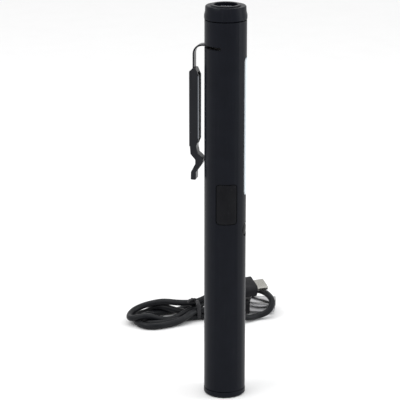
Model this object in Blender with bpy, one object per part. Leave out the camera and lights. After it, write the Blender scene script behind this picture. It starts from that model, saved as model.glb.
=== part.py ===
"""Rechargeable pen-style banknote detector with a side lamp, a spring clip and a folded charging lead.

The pen stands on its tail cap. +Z runs along the pen, the clip is on -X and the side lamp on +X.
All sizes are in metres.
"""
import math

import bmesh
import bpy
from mathutils import Matrix, Vector

# ---- driving dimensions -------------------------------------------------------------------
PEN_LENGTH = 0.1735          # tail face to head face
TUBE_RADIUS = 0.009
TUBE_WALL = 0.0012
TOUCH_GAP = 0.0003          # between pieces that touch or seat on each other
RUN_GAP = 0.0005            # around pieces that move

TAIL_BAND = 0.0026          # height of the tail cap that shows
TAIL_RIM = 0.0001           # the tail cap stands this far proud of the tube
TAIL_BEVEL = 0.0007
TAIL_PLUG_LENGTH = 0.0075
MAGNET_WALL = 0.0025        # cap left around the magnet
MAGNET_HEIGHT = 0.002

HEAD_HEIGHT = 0.0062        # part of the head that stands on the tube
HEAD_PLUG_LENGTH = 0.0052
HEAD_TAPER = 0.00034        # tube radius less the head's top radius
HEAD_RIM = 0.00013          # the collar stands this far proud of the tube
HEAD_WALL = 0.0012          # around the lens and reflector
HEAD_LIP = 0.0013           # rim that holds the lens in
HEAD_STEP = 0.0005
LENS_THICKNESS = 0.0014
LENS_RECESS = 0.0015
LED_BOARD_THICKNESS = 0.001
EMITTER_SIDE = 0.003
EMITTER_HEIGHT = 0.0016

CLIP_DROP = 0.0176          # head face to the middle of the spring strip where it leaves the tube
STRIP_THICKNESS = 0.0007
STRIP_WIDTH = 0.0038
CLIP_REACH = 0.0049         # tube wall to the outer face of the strip
CLIP_BEND = 0.0042          # outer radius of the strip's bend
CHANNEL_WIDTH = 0.0048
CHANNEL_REACH = 0.0063      # tube wall to the channel's web
CHANNEL_CLEAR = 0.0021      # tube wall to the flanges' free edges
CHANNEL_SHEET = 0.0007
CHANNEL_TOP = 0.0101        # below the strip
CHANNEL_LENGTH = 0.0340
TOE_LENGTH = 0.0149
TOE_WIDTH = 0.0044
SLOT_DEPTH = 0.0088
ANCHOR_PIN_RADIUS = 0.0005

LAMP_DROP = 0.0047          # spring strip to the top of the lamp's window
LAMP_LENGTH = 0.0600
LAMP_WIDTH = 0.0038
LAMP_PROUD = 0.0004
LAMP_FLANGE = 0.0011        # how far the cover's hidden flange reaches past the window
LAMP_BOARD_THICKNESS = 0.0008
LAMP_EMITTER_WIDTH = 0.0026

PORT_AZIMUTH = math.radians(-73.6)
PORT_DROP = 0.0115          # bottom of the lamp to the bottom of the port cover
PORT_HEIGHT = 0.0173
PORT_WIDTH = 0.0085
PORT_CORNER = 0.0012
PORT_SEAT = 0.0006          # depth of the seat in the tube wall
PORT_PROUD = 0.0002
SOCKET_SIZE = (0.0052, 0.0028, 0.0078)   # depth, thickness, width

BUTTON_DROP = 0.0152        # bottom of the lamp to the middle of the button
BUTTON_RADIUS = 0.0030
BUTTON_FLANGE = 0.0007
BUTTON_TRAVEL = 0.0004

BATTERY_SLACK = 0.0015      # between the cell and the sled that carries it
BATTERY_DROP = 0.0160       # middle of the button to the top of the cell
SLED_WALL = 0.0010
MAIN_BOARD_THICKNESS = 0.0010
MAIN_BOARD_WIDTH = 0.0090
LEAD_WIRE_RADIUS = 0.0004

CORD_RADIUS = 0.0015
HANK_FOLD_RADIUS = 0.0090   # at the middle of the cord
HANK_HEIGHT = 0.0080
HANK_LEFT = (-0.0554, 0.0767)
HANK_TIED = (-0.0328, 0.0899)
HANK_RIGHT = (-0.0191, 0.0881)
HANK_WAIST = 0.0035         # half the width of the bundle where it is tied
TIE_WIDTH = 0.0048
TIE_THICKNESS = 0.0009

BIG_PLUG_TIP = (0.0018, 0.1086)
BIG_PLUG_HEADING = math.radians(7.0)
BIG_SHELL = (0.0120, 0.0120, 0.0045)     # length, width, thickness
BIG_GRIP = (0.0180, 0.0140, 0.0075)
SMALL_PLUG_BASE = (-0.0084, 0.1069)
SMALL_PLUG_HEADING = math.radians(36.0)
SMALL_PLUG_TILT = math.radians(1.5)
SMALL_PLUG_ROLL = math.radians(20.0)
SMALL_PLUG_LIFT = 0.0020    # extra height, as it leans on its side
SMALL_SHELL = (0.0060, 0.0069, 0.0019)
SMALL_GRIP = (0.0160, 0.0104, 0.0062)
PLUG_SHEET = 0.0004
RELIEF_LENGTH = 0.0050

ROUND = 64                  # sides of the pen's own turned pieces
SMALL_ROUND = 32

# ---- sizes that follow from them ----------------------------------------------------------
CLIP_Z = PEN_LENGTH - CLIP_DROP
LAMP_TOP = CLIP_Z - LAMP_DROP
BORE_RADIUS = TUBE_RADIUS - TUBE_WALL
TUBE_BOTTOM = TAIL_BAND + TOUCH_GAP
TUBE_TOP = PEN_LENGTH - HEAD_HEIGHT - TOUCH_GAP
PLUG_RADIUS = BORE_RADIUS - TOUCH_GAP
LENS_TOP = PEN_LENGTH - LENS_RECESS
LENS_BOTTOM = LENS_TOP - LENS_THICKNESS
HEAD_CAVITY_RADIUS = PLUG_RADIUS - HEAD_WALL
HEAD_BORE_RADIUS = HEAD_CAVITY_RADIUS - HEAD_LIP
HEAD_TOP_RADIUS = TUBE_RADIUS - HEAD_TAPER
HEAD_COLLAR_RADIUS = TUBE_RADIUS + HEAD_RIM
TAIL_RADIUS = TUBE_RADIUS + TAIL_RIM
MAGNET_RADIUS = PLUG_RADIUS - MAGNET_WALL
BATTERY_RADIUS = PLUG_RADIUS - SLED_WALL - BATTERY_SLACK
CLIP_STAND_OFF = TUBE_RADIUS + CLIP_REACH
CHANNEL_OUTER = TUBE_RADIUS + CHANNEL_REACH
CHANNEL_INNER = TUBE_RADIUS + CHANNEL_CLEAR
SLOT_HEIGHT = STRIP_THICKNESS + 2 * TOUCH_GAP
HEAD_FIT_RADIUS = HEAD_CAVITY_RADIUS - TOUCH_GAP
HEAD_PLUG_BOTTOM = PEN_LENGTH - HEAD_HEIGHT - HEAD_PLUG_LENGTH
LED_BOARD_BOTTOM = HEAD_PLUG_BOTTOM + 0.0015
LED_BOARD_TOP = LED_BOARD_BOTTOM + LED_BOARD_THICKNESS
LAMP_BOTTOM = LAMP_TOP - LAMP_LENGTH
PORT_BOTTOM = LAMP_BOTTOM - PORT_DROP
BUTTON_Z = LAMP_BOTTOM - BUTTON_DROP
BATTERY_TOP = BUTTON_Z - BATTERY_DROP
LAMP_FLANGE_TOP = math.sqrt(BORE_RADIUS ** 2 - (LAMP_WIDTH / 2 + LAMP_FLANGE) ** 2) - TOUCH_GAP
LAMP_FLANGE_THICKNESS = 0.0008
LAMP_EMITTER_THICKNESS = 0.0006
LAMP_EMITTER_TOP = LAMP_FLANGE_TOP - LAMP_FLANGE_THICKNESS - TOUCH_GAP
LAMP_BOARD_TOP = LAMP_EMITTER_TOP - LAMP_EMITTER_THICKNESS - TOUCH_GAP
MAIN_BOARD_X = LAMP_BOARD_TOP - LAMP_BOARD_THICKNESS - 0.0012 - MAIN_BOARD_THICKNESS / 2
BULKHEAD_BOTTOM = LAMP_TOP + LAMP_FLANGE + 2 * TOUCH_GAP
BULKHEAD_TOP = CLIP_Z - 0.0015
RETAINER_BOTTOM = CLIP_Z + 0.0014
RETAINER_TOP = HEAD_PLUG_BOTTOM - TOUCH_GAP
BATTERY_BOTTOM = TUBE_BOTTOM + TAIL_PLUG_LENGTH + 0.0022
SLED_BOTTOM = TUBE_BOTTOM + TAIL_PLUG_LENGTH + 0.0006
ANCHOR_PIN_X = -(BORE_RADIUS - 0.0022)
PORT_LIP = 0.0012
SOCKET_FACE = TUBE_RADIUS - PORT_SEAT - PORT_LIP - RUN_GAP


def material(name, colour, roughness, metallic=0.0):
    made = bpy.data.materials.new(name)
    made.use_nodes = True
    shader = made.node_tree.nodes["Principled BSDF"]
    shader.inputs["Base Color"].default_value = (*colour, 1.0)
    shader.inputs["Roughness"].default_value = roughness
    shader.inputs["Metallic"].default_value = metallic
    return made


def add(name, verts, faces, finish, smooth=True):
    """A named object from points and faces, with its normals turned outwards."""
    mesh = bpy.data.meshes.new(name)
    shape = bmesh.new()
    points = [shape.verts.new(v) for v in verts]
    for face in faces:
        shape.faces.new([points[i] for i in face])
    bmesh.ops.recalc_face_normals(shape, faces=shape.faces)
    shape.to_mesh(mesh)
    shape.free()
    mesh.materials.append(finish)
    if smooth:
        mesh.shade_smooth()
        mesh.set_sharp_from_angle(angle=math.radians(35))
    obj = bpy.data.objects.new(name, mesh)
    bpy.context.collection.objects.link(obj)
    return obj


def turned(name, profile, finish, sides=ROUND):
    """Turn a closed (radius, height) outline about Z. Points at radius 0 become single poles."""
    verts, rings = [], []
    for radius, height in profile:
        if radius == 0.0:
            rings.append([len(verts)])
            verts.append((0.0, 0.0, height))
            continue
        rings.append(list(range(len(verts), len(verts) + sides)))
        for i in range(sides):
            turn = 2 * math.pi * i / sides
            verts.append((radius * math.cos(turn), radius * math.sin(turn), height))
    faces = []
    for ring, following in zip(rings, rings[1:] + rings[:1]):
        if len(ring) == 1 and len(following) == 1:
            continue
        for i in range(sides):
            j = (i + 1) % sides
            quad = [ring[i % len(ring)], ring[j % len(ring)], following[j % len(following)], following[i % len(following)]]
            faces.append(list(dict.fromkeys(quad)))
    return add(name, verts, faces, finish)


def prism(name, outline, low, high, finish, smooth=True):
    """Carry a closed (x, y) outline straight up from one height to another."""
    count = len(outline)
    verts = [(x, y, low) for x, y in outline] + [(x, y, high) for x, y in outline]
    sides = [(i, (i + 1) % count, (i + 1) % count + count, i + count) for i in range(count)]
    return add(name, verts, [tuple(range(count)), tuple(range(count, 2 * count)), *sides], finish, smooth)


def rounded(width, height, corner, steps=4):
    """Outline of a rectangle with round corners, centred on the origin."""
    points = []
    for quarter, (sx, sy) in enumerate(((1, 1), (-1, 1), (-1, -1), (1, -1))):
        for step in range(steps + 1):
            turn = math.pi / 2 * (quarter + step / steps)
            points.append((sx * (width / 2 - corner) + corner * math.cos(turn),
                           sy * (height / 2 - corner) + corner * math.sin(turn)))
    return points


def block(name, low, high, finish):
    """A plain block between two corners."""
    outline = [(low[0], low[1]), (high[0], low[1]), (high[0], high[1]), (low[0], high[1])]
    return prism(name, outline, low[2], high[2], finish, smooth=False)


def combine(target, tool, operation):
    """Apply a Boolean with a helper solid, then remove the helper."""
    tool.hide_render = True
    tool.display_type = "WIRE"
    change = target.modifiers.new(operation.title(), "BOOLEAN")
    change.operation = operation
    change.solver = "EXACT"
    change.object = tool
    view = bpy.context.evaluated_depsgraph_get()
    mesh = bpy.data.meshes.new_from_object(target.evaluated_get(view))
    target.modifiers.clear()
    target.data = mesh
    bpy.data.objects.remove(tool)
    mesh.shade_smooth()
    mesh.set_sharp_from_angle(angle=math.radians(35))
    return target


def cut(target, tool):
    return combine(target, tool, "DIFFERENCE")


def join(target, tool):
    return combine(target, tool, "UNION")


def place(obj, matrix):
    """Put the mesh where the matrix says and keep the object's own transform clean."""
    obj.data.transform(matrix)
    return obj


def hinge_here(obj, point):
    """Give a moving piece its origin on its joint, without moving its shape."""
    obj.data.transform(Matrix.Translation(-Vector(point)))
    obj.location = point
    return obj


def facing(azimuth, height=0.0):
    """Frame whose +X points out of the tube at an azimuth and whose +Z stays up."""
    return Matrix.Translation((0, 0, height)) @ Matrix.Rotation(azimuth, 4, "Z")


# Rounded outlines drawn in (across, up) stand up with this: across to Y, up to Z, depth to X.
UPRIGHT = Matrix(((0, 0, 1, 0), (1, 0, 0, 0), (0, 1, 0, 0), (0, 0, 0, 1)))


def upright_plate(name, width, height, corner, near, far, centre_z, finish, steps=4):
    """A round-cornered plate in the YZ plane, from one distance off the axis to another."""
    plate = prism(name, rounded(width, height, corner, steps), near, far, finish)
    return place(plate, Matrix.Translation((0, 0, centre_z)) @ UPRIGHT)


def wire(name, points, radius, finish, resolution=1, spacing=0.003):
    """A round cord along a smooth curve through the given points."""
    points = [Vector(p) for p in points]
    ends = [points[0] * 2 - points[1], *points, points[-1] * 2 - points[-2]]
    path = []
    for before, start, end, after in zip(ends, ends[1:], ends[2:], ends[3:]):
        steps = max(2, round((end - start).length / spacing))
        for step in range(steps):
            t = step / steps
            path.append(0.5 * (2 * start + (end - before) * t + (2 * before - 5 * start + 4 * end - after) * t ** 2
                               + (3 * start - before - 3 * end + after) * t ** 3))
    path.append(points[-1])
    curve = bpy.data.curves.new(name, "CURVE")
    curve.dimensions = "3D"
    curve.bevel_depth = radius
    curve.bevel_resolution = resolution
    curve.use_fill_caps = True
    spline = curve.splines.new("POLY")
    spline.points.add(len(path) - 1)
    for point, position in zip(spline.points, path):
        point.co = (*position, 1.0)
    curve.materials.append(finish)
    obj = bpy.data.objects.new(name, curve)
    bpy.context.collection.objects.link(obj)
    return obj


# ---- finishes ------------------------------------------------------------------------------
def make_finishes():
    return {
        "anodised": material("anodised_black", (0.012, 0.013, 0.016), 0.42, 0.6),
        "spring_steel": material("dark_steel", (0.10, 0.105, 0.11), 0.35, 1.0),
        "rubber": material("black_rubber", (0.012, 0.012, 0.013), 0.7),
        "lens": material("clear_lens", (0.82, 0.85, 0.88), 0.08),
        "lamp_cover": material("pale_cover", (0.80, 0.83, 0.85), 0.35),
        "mirror": material("reflector", (0.75, 0.75, 0.76), 0.12, 1.0),
        "board": material("board_white", (0.75, 0.76, 0.74), 0.5),
        "green_board": material("board_green", (0.02, 0.14, 0.06), 0.45),
        "emitter": material("emitter_yellow", (0.80, 0.68, 0.15), 0.5),
        "moulding": material("black_moulding", (0.02, 0.02, 0.022), 0.5),
        "steel": material("plated_steel", (0.62, 0.62, 0.60), 0.25, 1.0),
        "magnet": material("nickel", (0.55, 0.54, 0.52), 0.25, 1.0),
        "cell": material("cell_sleeve", (0.05, 0.16, 0.32), 0.4),
        "red": material("red_wire", (0.45, 0.02, 0.02), 0.5),
        "black": material("black_wire", (0.02, 0.02, 0.02), 0.5),
        "cord": material("black_cord", (0.015, 0.015, 0.016), 0.45),
    }


# ---- pen body -------------------------------------------------------------------------------
def make_tube(f):
    tube = turned("body_tube", [(TUBE_RADIUS, TUBE_BOTTOM), (TUBE_RADIUS, TUBE_TOP),
                                (BORE_RADIUS, TUBE_TOP), (BORE_RADIUS, TUBE_BOTTOM)], f["anodised"])
    reach = TUBE_RADIUS * 2
    cut(tube, block("slot", (-reach, -reach, CLIP_Z - SLOT_HEIGHT / 2),
                    (-TUBE_RADIUS + SLOT_DEPTH, reach, CLIP_Z + SLOT_HEIGHT / 2), f["anodised"]))
    window = LAMP_WIDTH + 2 * TOUCH_GAP
    cut(tube, upright_plate("window", window, LAMP_LENGTH + 2 * TOUCH_GAP, window / 2 - 0.0001, 0.004, reach,
                            LAMP_TOP - LAMP_LENGTH / 2, f["anodised"], 6))
    port = facing(PORT_AZIMUTH)
    seat = make_port_shell("seat", f["anodised"], TUBE_RADIUS - PORT_SEAT - TOUCH_GAP, reach, TOUCH_GAP)
    cut(tube, seat)
    mouth = upright_plate("mouth", SOCKET_SIZE[1] + 0.0012, SOCKET_SIZE[2] + 0.0012, 0.0006, 0.004, reach,
                          PORT_BOTTOM + PORT_HEIGHT / 2, f["anodised"], 2)
    cut(tube, place(mouth, port))
    button = place(turned("button_hole", [(0, 0), (BUTTON_RADIUS + TOUCH_GAP, 0),
                                          (BUTTON_RADIUS + TOUCH_GAP, reach), (0, reach)], f["anodised"], SMALL_ROUND),
                   Matrix.Translation((0.003, 0, BUTTON_Z)) @ Matrix.Rotation(math.pi / 2, 4, "Y"))
    cut(tube, button)


def make_tail(f):
    plug_top = TUBE_BOTTOM + TAIL_PLUG_LENGTH
    groove_low = TUBE_BOTTOM + 0.0012
    groove_high = groove_low + 0.0014
    groove_radius = PLUG_RADIUS - 0.0010
    pocket_bottom = 0.0010
    pocket = MAGNET_RADIUS + TOUCH_GAP
    turned("tail_cap", [
        (0, 0), (TAIL_RADIUS - TAIL_BEVEL, 0), (TAIL_RADIUS, TAIL_BEVEL), (TAIL_RADIUS, TAIL_BAND - 0.0002),
        (TAIL_RADIUS - 0.0002, TAIL_BAND), (PLUG_RADIUS, TAIL_BAND), (PLUG_RADIUS, groove_low),
        (groove_radius, groove_low), (groove_radius, groove_high), (PLUG_RADIUS, groove_high),
        (PLUG_RADIUS, plug_top), (pocket, plug_top), (pocket, pocket_bottom), (0, pocket_bottom)], f["anodised"])
    seal_inner = groove_radius + 0.0001
    seal_outer = BORE_RADIUS - 0.0001
    seal_middle = (seal_inner + seal_outer) / 2
    half_width = (seal_outer - seal_inner) / 2
    half_height = (groove_high - groove_low) / 2 - 0.0002
    seal_z = (groove_low + groove_high) / 2
    turned("tail_seal", [(seal_middle + half_width * math.cos(a), seal_z + half_height * math.sin(a))
                         for a in (i * math.pi / 4 for i in range(8))], f["rubber"], 40)
    magnet_low = pocket_bottom + TOUCH_GAP
    magnet_high = magnet_low + MAGNET_HEIGHT
    turned("tail_magnet", [(0, magnet_low), (MAGNET_RADIUS, magnet_low), (MAGNET_RADIUS, magnet_high),
                           (0, magnet_high)], f["magnet"], SMALL_ROUND)
    coil = 0.0004
    coil_radius = 0.0034
    low = magnet_high + TOUCH_GAP + coil
    high = BATTERY_BOTTOM - TOUCH_GAP - coil
    turns = 4
    steps = turns * 12
    points = [(coil_radius * math.cos(2 * math.pi * turns * i / steps),
               coil_radius * math.sin(2 * math.pi * turns * i / steps), low + (high - low) * i / steps)
              for i in range(steps + 1)]
    wire("battery_spring", points, coil, f["steel"], resolution=0, spacing=1.0)


def make_head(f):
    base = PEN_LENGTH - HEAD_HEIGHT
    flare_low = base + 0.0018
    flare_high = base + 0.0034
    land = PEN_LENGTH - HEAD_STEP
    turned("head_bezel", [
        (PLUG_RADIUS, HEAD_PLUG_BOTTOM), (PLUG_RADIUS, base), (HEAD_COLLAR_RADIUS - 0.0003, base),
        (HEAD_COLLAR_RADIUS, base + 0.0003), (HEAD_COLLAR_RADIUS, flare_low), (HEAD_TOP_RADIUS + 0.0001, flare_high),
        (HEAD_TOP_RADIUS, land - 0.0003), (HEAD_TOP_RADIUS - 0.0003, land), (HEAD_BORE_RADIUS + 0.0016, land),
        (HEAD_BORE_RADIUS + 0.0014, PEN_LENGTH), (HEAD_BORE_RADIUS + 0.0002, PEN_LENGTH),
        (HEAD_BORE_RADIUS, PEN_LENGTH - 0.0002), (HEAD_BORE_RADIUS, LENS_TOP + TOUCH_GAP),
        (HEAD_CAVITY_RADIUS, LENS_TOP + TOUCH_GAP), (HEAD_CAVITY_RADIUS, HEAD_PLUG_BOTTOM)], f["anodised"])
    crown = 0.0002
    turned("head_lens", [(0, LENS_BOTTOM), (HEAD_FIT_RADIUS, LENS_BOTTOM), (HEAD_FIT_RADIUS, LENS_TOP - crown),
                         (HEAD_FIT_RADIUS * 0.6, LENS_TOP - crown / 3), (0, LENS_TOP)], f["lens"], 40)
    seal_top = LENS_BOTTOM - TOUCH_GAP
    seal_bottom = seal_top - 0.0006
    turned("lens_seal", [(HEAD_FIT_RADIUS - 0.0008, seal_bottom), (HEAD_FIT_RADIUS, seal_bottom),
                         (HEAD_FIT_RADIUS, seal_top), (HEAD_FIT_RADIUS - 0.0008, seal_top)], f["rubber"], 40)
    cup_top = seal_bottom - TOUCH_GAP
    cup_bottom = LED_BOARD_TOP + TOUCH_GAP
    throat = EMITTER_SIDE * math.sqrt(0.5) + TOUCH_GAP
    turned("led_reflector", [(throat, cup_bottom), (HEAD_FIT_RADIUS - 0.0006, cup_bottom),
                             (HEAD_FIT_RADIUS, cup_bottom + 0.001), (HEAD_FIT_RADIUS, cup_top),
                             (HEAD_FIT_RADIUS - 0.0006, cup_top), (HEAD_FIT_RADIUS - 0.0022, cup_bottom + 0.0022),
                             (throat, cup_bottom + 0.0006)], f["mirror"], 40)
    turned("led_board", [(0, LED_BOARD_BOTTOM), (HEAD_FIT_RADIUS, LED_BOARD_BOTTOM),
                         (HEAD_FIT_RADIUS, LED_BOARD_TOP), (0, LED_BOARD_TOP)], f["board"], 40)
    half = EMITTER_SIDE / 2
    low = LED_BOARD_TOP + TOUCH_GAP
    emitter = block("uv_emitter", (-half, -half, low), (half, half, low + EMITTER_HEIGHT / 2), f["emitter"])
    dome = turned("dome", [(0, low + 0.0002), (half * 0.8, low + 0.0002), (half * 0.8, low + EMITTER_HEIGHT / 2),
                           (half * 0.6, low + EMITTER_HEIGHT * 0.85), (0, low + EMITTER_HEIGHT)], f["emitter"], 24)
    join(emitter, dome)


# ---- clip -----------------------------------------------------------------------------------
def side_profile(name, outline, width, finish):
    """Carry a (distance from the axis, height) outline across the clip's width, out on -X."""
    half = width / 2
    count = len(outline)
    verts = [(-r, -half, z) for r, z in outline] + [(-r, half, z) for r, z in outline]
    sides = [(i, (i + 1) % count, (i + 1) % count + count, i + count) for i in range(count)]
    return add(name, verts, [tuple(range(count)), tuple(range(count, 2 * count)), *sides], finish)


def make_clip(f):
    steel = f["spring_steel"]
    half = STRIP_THICKNESS / 2
    channel_top = CLIP_Z - CHANNEL_TOP
    channel_bottom = channel_top - CHANNEL_LENGTH
    bend_centre = (CLIP_STAND_OFF - CLIP_BEND, CLIP_Z + half - CLIP_BEND)
    tongue = ANCHOR_PIN_X + 0.0020

    def bend(radius):
        turns = [math.pi / 2 * (1 - i / 6) for i in range(7)]
        return [(bend_centre[0] + radius * math.cos(a), bend_centre[1] + radius * math.sin(a)) for a in turns]

    strip_foot = channel_top - 0.0060
    outer = bend(CLIP_BEND)
    inner = bend(CLIP_BEND - STRIP_THICKNESS)
    strip = side_profile("pocket_clip", [(-tongue, CLIP_Z + half), *outer, (CLIP_STAND_OFF, strip_foot),
                                         (CLIP_STAND_OFF - STRIP_THICKNESS, strip_foot), *reversed(inner),
                                         (-tongue, CLIP_Z - half)], STRIP_WIDTH, steel)
    web_step = CHANNEL_OUTER - CLIP_STAND_OFF
    chamfer = 0.0014
    channel = side_profile("channel", [
        (CLIP_STAND_OFF, channel_top), (CHANNEL_OUTER, channel_top - web_step), (CHANNEL_OUTER, channel_bottom),
        (CHANNEL_INNER + 0.0012, channel_bottom), (CHANNEL_INNER, channel_bottom + 0.0030),
        (CHANNEL_INNER, channel_top - 0.0032), (CHANNEL_INNER + chamfer, channel_top)], CHANNEL_WIDTH, steel)
    hollow_half = CHANNEL_WIDTH / 2 - CHANNEL_SHEET
    hollow = block("hollow", (-(CHANNEL_OUTER - CHANNEL_SHEET), -hollow_half, channel_bottom + 0.0012),
                   (-(CHANNEL_INNER - 0.002), hollow_half, channel_top - web_step - 0.0004), steel)
    cut(channel, hollow)
    foot = channel_bottom + 0.0015
    knee = channel_bottom - TOE_LENGTH * 0.47
    toe_bottom = channel_bottom - TOE_LENGTH
    contact = TUBE_RADIUS + TOUCH_GAP
    toe = side_profile("toe", [
        (CHANNEL_OUTER - 0.0001, foot), (CHANNEL_OUTER - 0.0005, channel_bottom - 0.0035),
        (CHANNEL_OUTER - 0.0026, knee + 0.0010), (CHANNEL_OUTER - 0.0026, knee - 0.0008),
        (CHANNEL_OUTER - 0.0007, toe_bottom + 0.0034), (CHANNEL_OUTER - 0.0006, toe_bottom + 0.0003),
        (CHANNEL_OUTER - 0.0010, toe_bottom), (CHANNEL_OUTER - 0.0026, toe_bottom),
        (CHANNEL_OUTER - 0.0029, toe_bottom + 0.0003), (CHANNEL_OUTER - 0.0029, toe_bottom + 0.0034),
        (contact + 0.0006, knee - 0.0010), (contact, knee + 0.0004), (contact, knee + 0.0016),
        (contact + 0.0008, knee + 0.0026), (CHANNEL_OUTER - 0.0036, knee + 0.0040),
        (CHANNEL_OUTER - 0.0031, channel_bottom - 0.0004), (CHANNEL_OUTER - 0.0031, foot)], TOE_WIDTH, steel)
    clip = join(join(strip, channel), toe)
    eye = turned("eye", [(0, CLIP_Z - 0.002), (ANCHOR_PIN_RADIUS + TOUCH_GAP, CLIP_Z - 0.002),
                         (ANCHOR_PIN_RADIUS + TOUCH_GAP, CLIP_Z + 0.002), (0, CLIP_Z + 0.002)], steel, 16)
    cut(clip, place(eye, Matrix.Translation((ANCHOR_PIN_X, 0, 0))))
    hinge_here(clip, (-(TUBE_RADIUS - TUBE_WALL / 2), 0, CLIP_Z))

    pin_low = BULKHEAD_BOTTOM + 0.0002
    pin = turned("clip_anchor_pin", [(0, pin_low), (ANCHOR_PIN_RADIUS, pin_low),
                                     (ANCHOR_PIN_RADIUS, RETAINER_TOP - 0.0003), (0, RETAINER_TOP - 0.0003)],
                 f["steel"], 16)
    place(pin, Matrix.Translation((ANCHOR_PIN_X, 0, 0)))
    retainer = turned("clip_retainer", [(0.0022, RETAINER_BOTTOM), (PLUG_RADIUS, RETAINER_BOTTOM),
                                        (PLUG_RADIUS, RETAINER_TOP), (0.0022, RETAINER_TOP)], f["moulding"], 40)
    cut(retainer, pin_hole(RETAINER_BOTTOM - 0.001, RETAINER_TOP + 0.001, f))


def pin_hole(low, high, f):
    hole = turned("pin_hole", [(0, low), (ANCHOR_PIN_RADIUS + TOUCH_GAP, low), (ANCHOR_PIN_RADIUS + TOUCH_GAP, high),
                               (0, high)], f["moulding"], 16)
    return place(hole, Matrix.Translation((ANCHOR_PIN_X, 0, 0)))


# ---- side lamp ------------------------------------------------------------------------------
def make_lamp(f):
    middle = LAMP_TOP - LAMP_LENGTH / 2
    cover = upright_plate("lamp_cover", LAMP_WIDTH, LAMP_LENGTH, LAMP_WIDTH / 2 - 0.0001, LAMP_FLANGE_TOP - 0.0003,
                          TUBE_RADIUS * 2, middle, f["lamp_cover"], 6)
    crown = turned("crown", [(0, 0), (TUBE_RADIUS + LAMP_PROUD, 0), (TUBE_RADIUS + LAMP_PROUD, PEN_LENGTH),
                             (0, PEN_LENGTH)], f["lamp_cover"])
    combine(cover, crown, "INTERSECT")
    flange = upright_plate("flange", LAMP_WIDTH + 2 * LAMP_FLANGE, LAMP_LENGTH + 2 * LAMP_FLANGE, LAMP_WIDTH / 2,
                           LAMP_FLANGE_TOP - LAMP_FLANGE_THICKNESS, LAMP_FLANGE_TOP, middle, f["lamp_cover"])
    join(cover, flange)
    upright_plate("lamp_emitter", LAMP_EMITTER_WIDTH, LAMP_LENGTH - 0.004, 0.0010,
                  LAMP_EMITTER_TOP - LAMP_EMITTER_THICKNESS, LAMP_EMITTER_TOP, middle, f["emitter"], 3)
    upright_plate("lamp_board", LAMP_WIDTH + LAMP_FLANGE, LAMP_LENGTH, 0.0005,
                  LAMP_BOARD_TOP - LAMP_BOARD_THICKNESS, LAMP_BOARD_TOP, middle, f["board"], 1)


# ---- charging port --------------------------------------------------------------------------
def make_port_shell(name, finish, inner, outer, spare):
    """A curved round-cornered plate that follows the tube, between two radii, at the port."""
    plate = upright_plate(name, PORT_WIDTH + 2 * spare, PORT_HEIGHT + 2 * spare, PORT_CORNER + spare,
                          TUBE_RADIUS / 2, outer + 0.004, PORT_BOTTOM + PORT_HEIGHT / 2, finish)
    ring = turned("ring", [(inner, 0), (outer, 0), (outer, PEN_LENGTH), (inner, PEN_LENGTH)], finish)
    place(ring, Matrix.Rotation(-PORT_AZIMUTH, 4, "Z"))
    return place(combine(plate, ring, "INTERSECT"), facing(PORT_AZIMUTH))


def make_port(f):
    middle = PORT_BOTTOM + PORT_HEIGHT / 2
    seat = TUBE_RADIUS - PORT_SEAT
    cover = make_port_shell("port_cover", f["rubber"], seat, TUBE_RADIUS + PORT_PROUD, 0.0)
    lip = upright_plate("lip", SOCKET_SIZE[1] - 0.0002, SOCKET_SIZE[2] - 0.0014, 0.0003, seat - PORT_LIP, seat + 0.0002,
                        middle, f["rubber"], 1)
    join(cover, place(lip, facing(PORT_AZIMUTH)))
    hinge_radius = TUBE_RADIUS + PORT_PROUD
    hinge_here(cover, (hinge_radius * math.cos(PORT_AZIMUTH), hinge_radius * math.sin(PORT_AZIMUTH), PORT_BOTTOM))
    face = SOCKET_FACE
    depth, thickness, width = SOCKET_SIZE
    socket = upright_plate("charge_socket", thickness, width, 0.0005, face - depth, face, middle, f["steel"], 2)
    sheet = 0.0004
    hollow = upright_plate("hollow", thickness - 2 * sheet, width - 2 * sheet, 0.0003, face - depth + 0.001,
                           face + 0.001, middle, f["steel"], 2)
    place(cut(socket, hollow), facing(PORT_AZIMUTH))
    tongue = upright_plate("socket_tongue", 0.0006, width - 0.0024, 0.0002, face - depth + 0.001 + TOUCH_GAP,
                           face - 0.0008, middle, f["moulding"], 1)
    place(tongue, facing(PORT_AZIMUTH))


# ---- power button ---------------------------------------------------------------------------
def make_button(f):
    face = math.sqrt(TUBE_RADIUS ** 2 - BUTTON_RADIUS ** 2) + 0.0001
    flange_top = math.sqrt(BORE_RADIUS ** 2 - (BUTTON_RADIUS + BUTTON_FLANGE) ** 2) - TOUCH_GAP
    flange_bottom = flange_top - 0.0005
    stem_end = flange_bottom - 0.0006
    along_x = Matrix.Translation((0, 0, BUTTON_Z)) @ Matrix.Rotation(math.pi / 2, 4, "Y")
    button = turned("power_button", [
        (0, stem_end), (0.0012, stem_end), (0.0012, flange_bottom), (BUTTON_RADIUS + BUTTON_FLANGE, flange_bottom),
        (BUTTON_RADIUS + BUTTON_FLANGE, flange_top), (BUTTON_RADIUS, flange_top), (BUTTON_RADIUS, face - 0.0002),
        (BUTTON_RADIUS * 0.85, face + 0.0001), (0, face + 0.0002)], f["rubber"], SMALL_ROUND)
    hinge_here(place(button, along_x), (face, 0, BUTTON_Z))
    plunger_top = stem_end - TOUCH_GAP
    plunger_bottom = plunger_top - 0.0004
    plunger = turned("switch_plunger", [(0, plunger_bottom), (0.0009, plunger_bottom), (0.0009, plunger_top),
                                        (0, plunger_top)], f["moulding"], 16)
    hinge_here(place(plunger, along_x), (face, 0, BUTTON_Z))
    body_top = plunger_bottom - BUTTON_TRAVEL - 0.0001
    side = 0.0021
    block("switch_body", (MAIN_BOARD_X + MAIN_BOARD_THICKNESS / 2 + TOUCH_GAP, -side, BUTTON_Z - side),
          (body_top, side, BUTTON_Z + side), f["steel"])


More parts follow.
